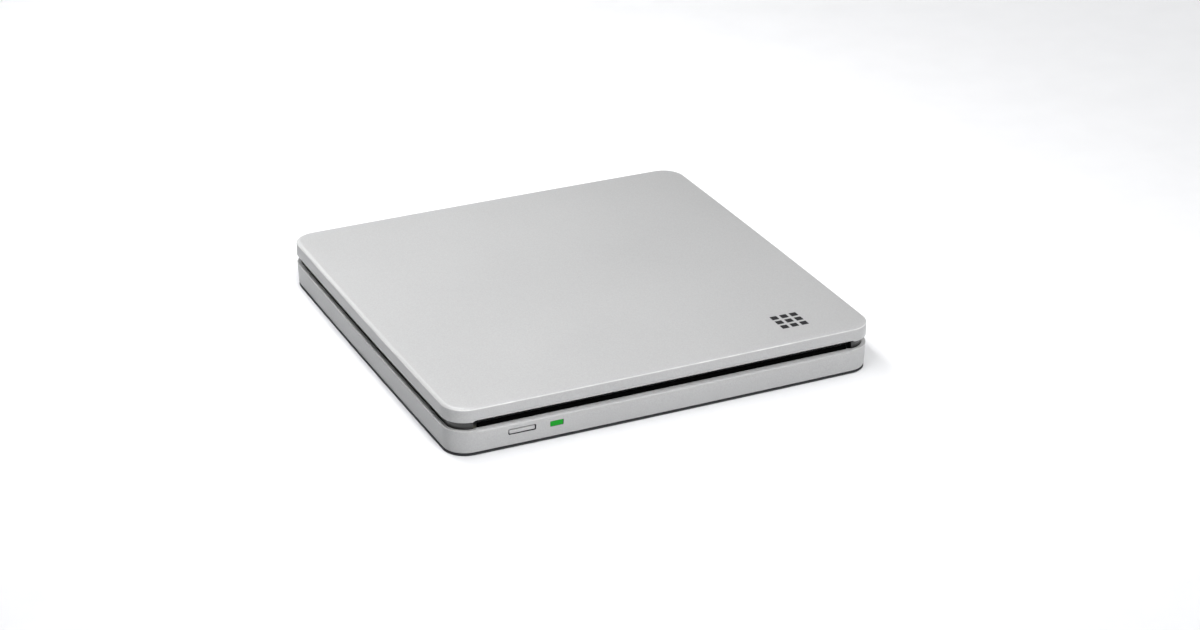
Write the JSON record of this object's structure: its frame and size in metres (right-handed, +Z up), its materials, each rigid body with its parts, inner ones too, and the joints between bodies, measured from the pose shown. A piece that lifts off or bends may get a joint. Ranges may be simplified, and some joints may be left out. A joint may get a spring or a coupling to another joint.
{
  "type": "external optical drive",
  "caption": "Slim slot-loading external optical drive: floating silver cover, black inner frame with a wide disc slot, eject button, light and a back socket.",
  "frame": {"origin": "middle of the footprint, on the surface the feet stand on", "axes": "+X to the right along the front face, +Y to the back, +Z up"},
  "size_m": [0.14, 0.139, 0.0155],
  "materials": {
    "silver_paint": "satin metallic silver paint",
    "silver_paint_lower": "satin metallic silver paint",
    "silver_button": "satin metallic silver paint",
    "black_gloss": "polished moulded plastic",
    "black_matte": "fine textured moulding",
    "label_film": "blank matt film",
    "foot_rubber": "soft matt",
    "black_steel": "black oxide",
    "zinc_steel": "zinc plated",
    "felt": "short black pile",
    "green_lens": "clear green, lit",
    "circuit_board": "solder mask",
    "led_epoxy": "clear epoxy",
    "flat_cable": "ribbed film",
    "galvanised_steel": "galvanised sheet",
    "foam": "open-cell foam",
    "insulator_film": "smooth film",
    "chip_black": "moulded epoxy",
    "connector_ivory": "moulded nylon",
    "polished_steel": "ground and polished",
    "grey_plastic": "moulded acetal",
    "copper_coil": "enamelled windings",
    "pad_rubber": "soft matt ring",
    "cast_zinc": "die cast",
    "magnet": "nickel plated",
    "lens_glass": "coated lens",
    "brass": "turned",
    "motor_can": "drawn can",
    "white_acetal": "moulded acetal"
  },
  "bodies": {
    "case": {"top_cover": "silver_paint", "lower_shell": "silver_paint_lower", "inner_frame": "black_gloss", "base_plate": "black_matte", "blank_label": "label_film", "rubber_feet": "foot_rubber", "case_screws": "black_steel", "drive_screws": "zinc_steel", "upper_wiper": "felt", "lower_wiper": "felt", "light_window": "green_lens", "front_board": "circuit_board", "switch_body": "black_matte", "indicator_led": "led_epoxy", "front_cable": "flat_cable", "drive_chassis": "galvanised_steel", "drive_cover": "galvanised_steel", "cover_screws": "zinc_steel", "foam_pads": "foam", "insulating_sheet": "insulator_film", "main_board": "circuit_board", "board_chips": "chip_black", "board_connectors": "connector_ivory", "usb_socket": "zinc_steel", "socket_tongue": "chip_black", "disc_switches": "chip_black", "loading_motor": "motor_can", "gear_pin": "polished_steel", "lever_pins": "polished_steel"},
    "eject_button": {"eject_button": "silver_button"},
    "switch_plunger": {"switch_plunger": "black_matte"},
    "traverse": {"traverse_frame": "galvanised_steel", "traverse_pins": "polished_steel", "cam_pin": "polished_steel", "rod_holders": "grey_plastic", "main_guide_rod": "polished_steel", "second_guide_rod": "polished_steel", "spindle_stator": "copper_coil", "feed_motor": "motor_can"},
    "spindle": {"spindle_rotor": "polished_steel", "disc_pad": "pad_rubber", "hub_claws": "grey_plastic"},
    "pickup": {"pickup_body": "cast_zinc", "pickup_magnets": "magnet", "feed_follower": "grey_plastic"},
    "lens": {"lens_holder": "chip_black", "objective_lens": "lens_glass"},
    "lead_screw": {"lead_screw": "brass"},
    "motor_worm": {"motor_worm": "brass"},
    "reduction_gear": {"reduction_gear": "white_acetal"},
    "cam_slider": {"cam_slider": "white_acetal"},
    "eject_arm": {"eject_arm": "galvanised_steel"},
    "eject_roller": {"eject_roller": "grey_plastic"},
    "loading_lever": {"loading_lever": "galvanised_steel"},
    "loading_roller": {"loading_roller": "grey_plastic"}
  },
  "joints": [
    {"name": "eject_button_press", "type": "slide", "parent": "case", "child": "eject_button", "axis": [0, 1, 0], "range_m": [0, 0.0005], "stiffness_N_per_m": 600},
    {"name": "switch_plunger_press", "type": "slide", "parent": "case", "child": "switch_plunger", "axis": [0, 1, 0], "range_m": [0, 0.0005]},
    {"name": "cam_slide", "type": "slide", "parent": "case", "child": "cam_slider", "axis": [0, 1, 0], "range_m": [0, 0.012]},
    {"name": "reduction_gear_spin", "type": "hinge", "parent": "case", "child": "reduction_gear", "pos_m": [-0.03, -0.04, 0.0045], "axis": [0, 0, 1], "range_deg": [0, 229.18]},
    {"name": "motor_worm_spin", "type": "hinge", "parent": "case", "child": "motor_worm", "pos_m": [-0.03906, -0.04, 0.00545], "axis": [0, 1, 0], "range_deg": [0, 5500.39]},
    {"name": "traverse_lift", "type": "hinge", "parent": "case", "child": "traverse", "pos_m": [0.058, 0.0015, 0.0054], "axis": [0, 1, 0], "range_deg": [-1.6, 0]},
    {"name": "eject_arm_swing", "type": "hinge", "parent": "case", "child": "eject_arm", "pos_m": [0.05, 0.05, 0.0107], "axis": [0, 0, 1], "range_deg": [0, 40]},
    {"name": "loading_lever_swing", "type": "hinge", "parent": "case", "child": "loading_lever", "pos_m": [0.059, 0.0375, 0.0107], "axis": [0, 0, 1], "range_deg": [0, 9]},
    {"name": "eject_roller_spin", "type": "hinge", "parent": "eject_arm", "child": "eject_roller", "pos_m": [-0.02601, 0.05866, 0.0095], "axis": [0, 0, 1], "continuous": true},
    {"name": "loading_roller_spin", "type": "hinge", "parent": "loading_lever", "child": "loading_roller", "pos_m": [0.04689, -0.03895, 0.0095], "axis": [0, 0, 1], "continuous": true},
    {"name": "spindle_spin", "type": "hinge", "parent": "traverse", "child": "spindle", "pos_m": [0, 0.0015, 0.0085], "axis": [0, 0, 1], "continuous": true},
    {"name": "pickup_slide", "type": "slide", "parent": "traverse", "child": "pickup", "axis": [1, 0, 0], "range_m": [0, 0.034]},
    {"name": "lead_screw_spin", "type": "hinge", "parent": "traverse", "child": "lead_screw", "pos_m": [0.03, -0.0245, 0.0062], "axis": [1, 0, 0], "range_deg": [0, 4080]},
    {"name": "lens_focus", "type": "slide", "parent": "pickup", "child": "lens", "axis": [0, 0, 1], "range_m": [-0.0003, 0.0003], "stiffness_N_per_m": 60}
  ],
  "couplings": [
    {"joint": "switch_plunger_press", "follows": "eject_button_press", "ratio": 1},
    {"joint": "reduction_gear_spin", "follows": "cam_slide", "rad_per_m": 333.33},
    {"joint": "motor_worm_spin", "follows": "cam_slide", "rad_per_m": 8000},
    {"joint": "traverse_lift", "follows": "cam_slide", "rad_per_m": -2.3271},
    {"joint": "eject_arm_swing", "follows": "cam_slide", "rad_per_m": 58.178},
    {"joint": "loading_lever_swing", "follows": "cam_slide", "rad_per_m": 13.09},
    {"joint": "lead_screw_spin", "follows": "pickup_slide", "rad_per_m": 2094.4}
  ]
}
